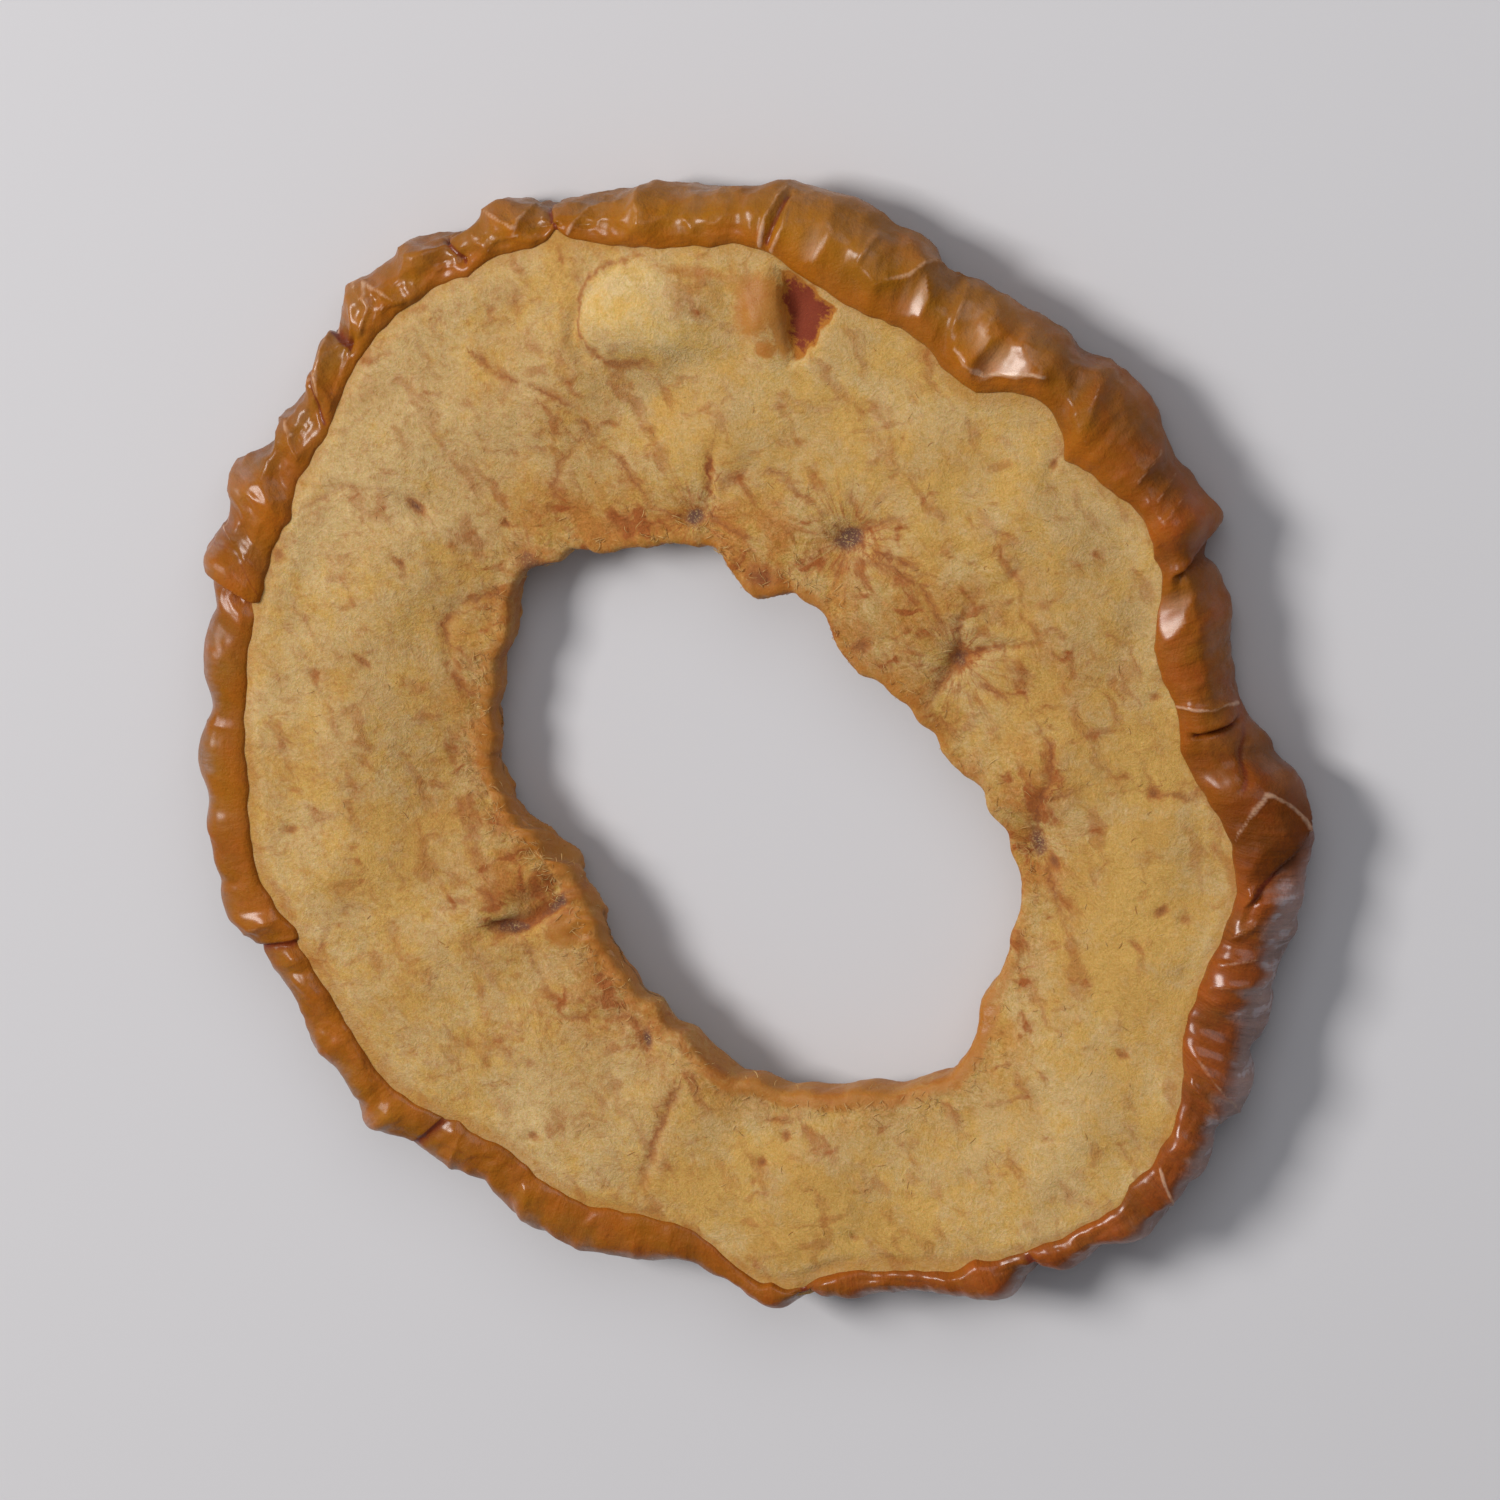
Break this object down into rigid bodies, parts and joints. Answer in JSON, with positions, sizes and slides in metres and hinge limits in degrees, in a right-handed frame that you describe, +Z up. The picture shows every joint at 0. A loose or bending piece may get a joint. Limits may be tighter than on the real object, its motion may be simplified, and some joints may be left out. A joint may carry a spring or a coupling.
{
  "type": "dried apple ring",
  "caption": "Cored apple slice dried to a leathery ring, with a pleated skin band round its edge and an oval core hole through it.",
  "frame": {"origin": "middle of the outline, on the surface that the ring lies on", "axes": "+Z up through the ring's thickness, out of the cut face shown; +Y to the top of the slice as pictured; +X to its right"},
  "size_m": [0.0592, 0.0602, 0.0059],
  "materials": {
    "dried_flesh": "matt, fibrous, tan to cream",
    "dried_skin": "glossy, wrinkled, amber to red-brown"
  },
  "bodies": {
    "root": {"apple_ring": "dried_flesh"}
  },
  "joints": []
}
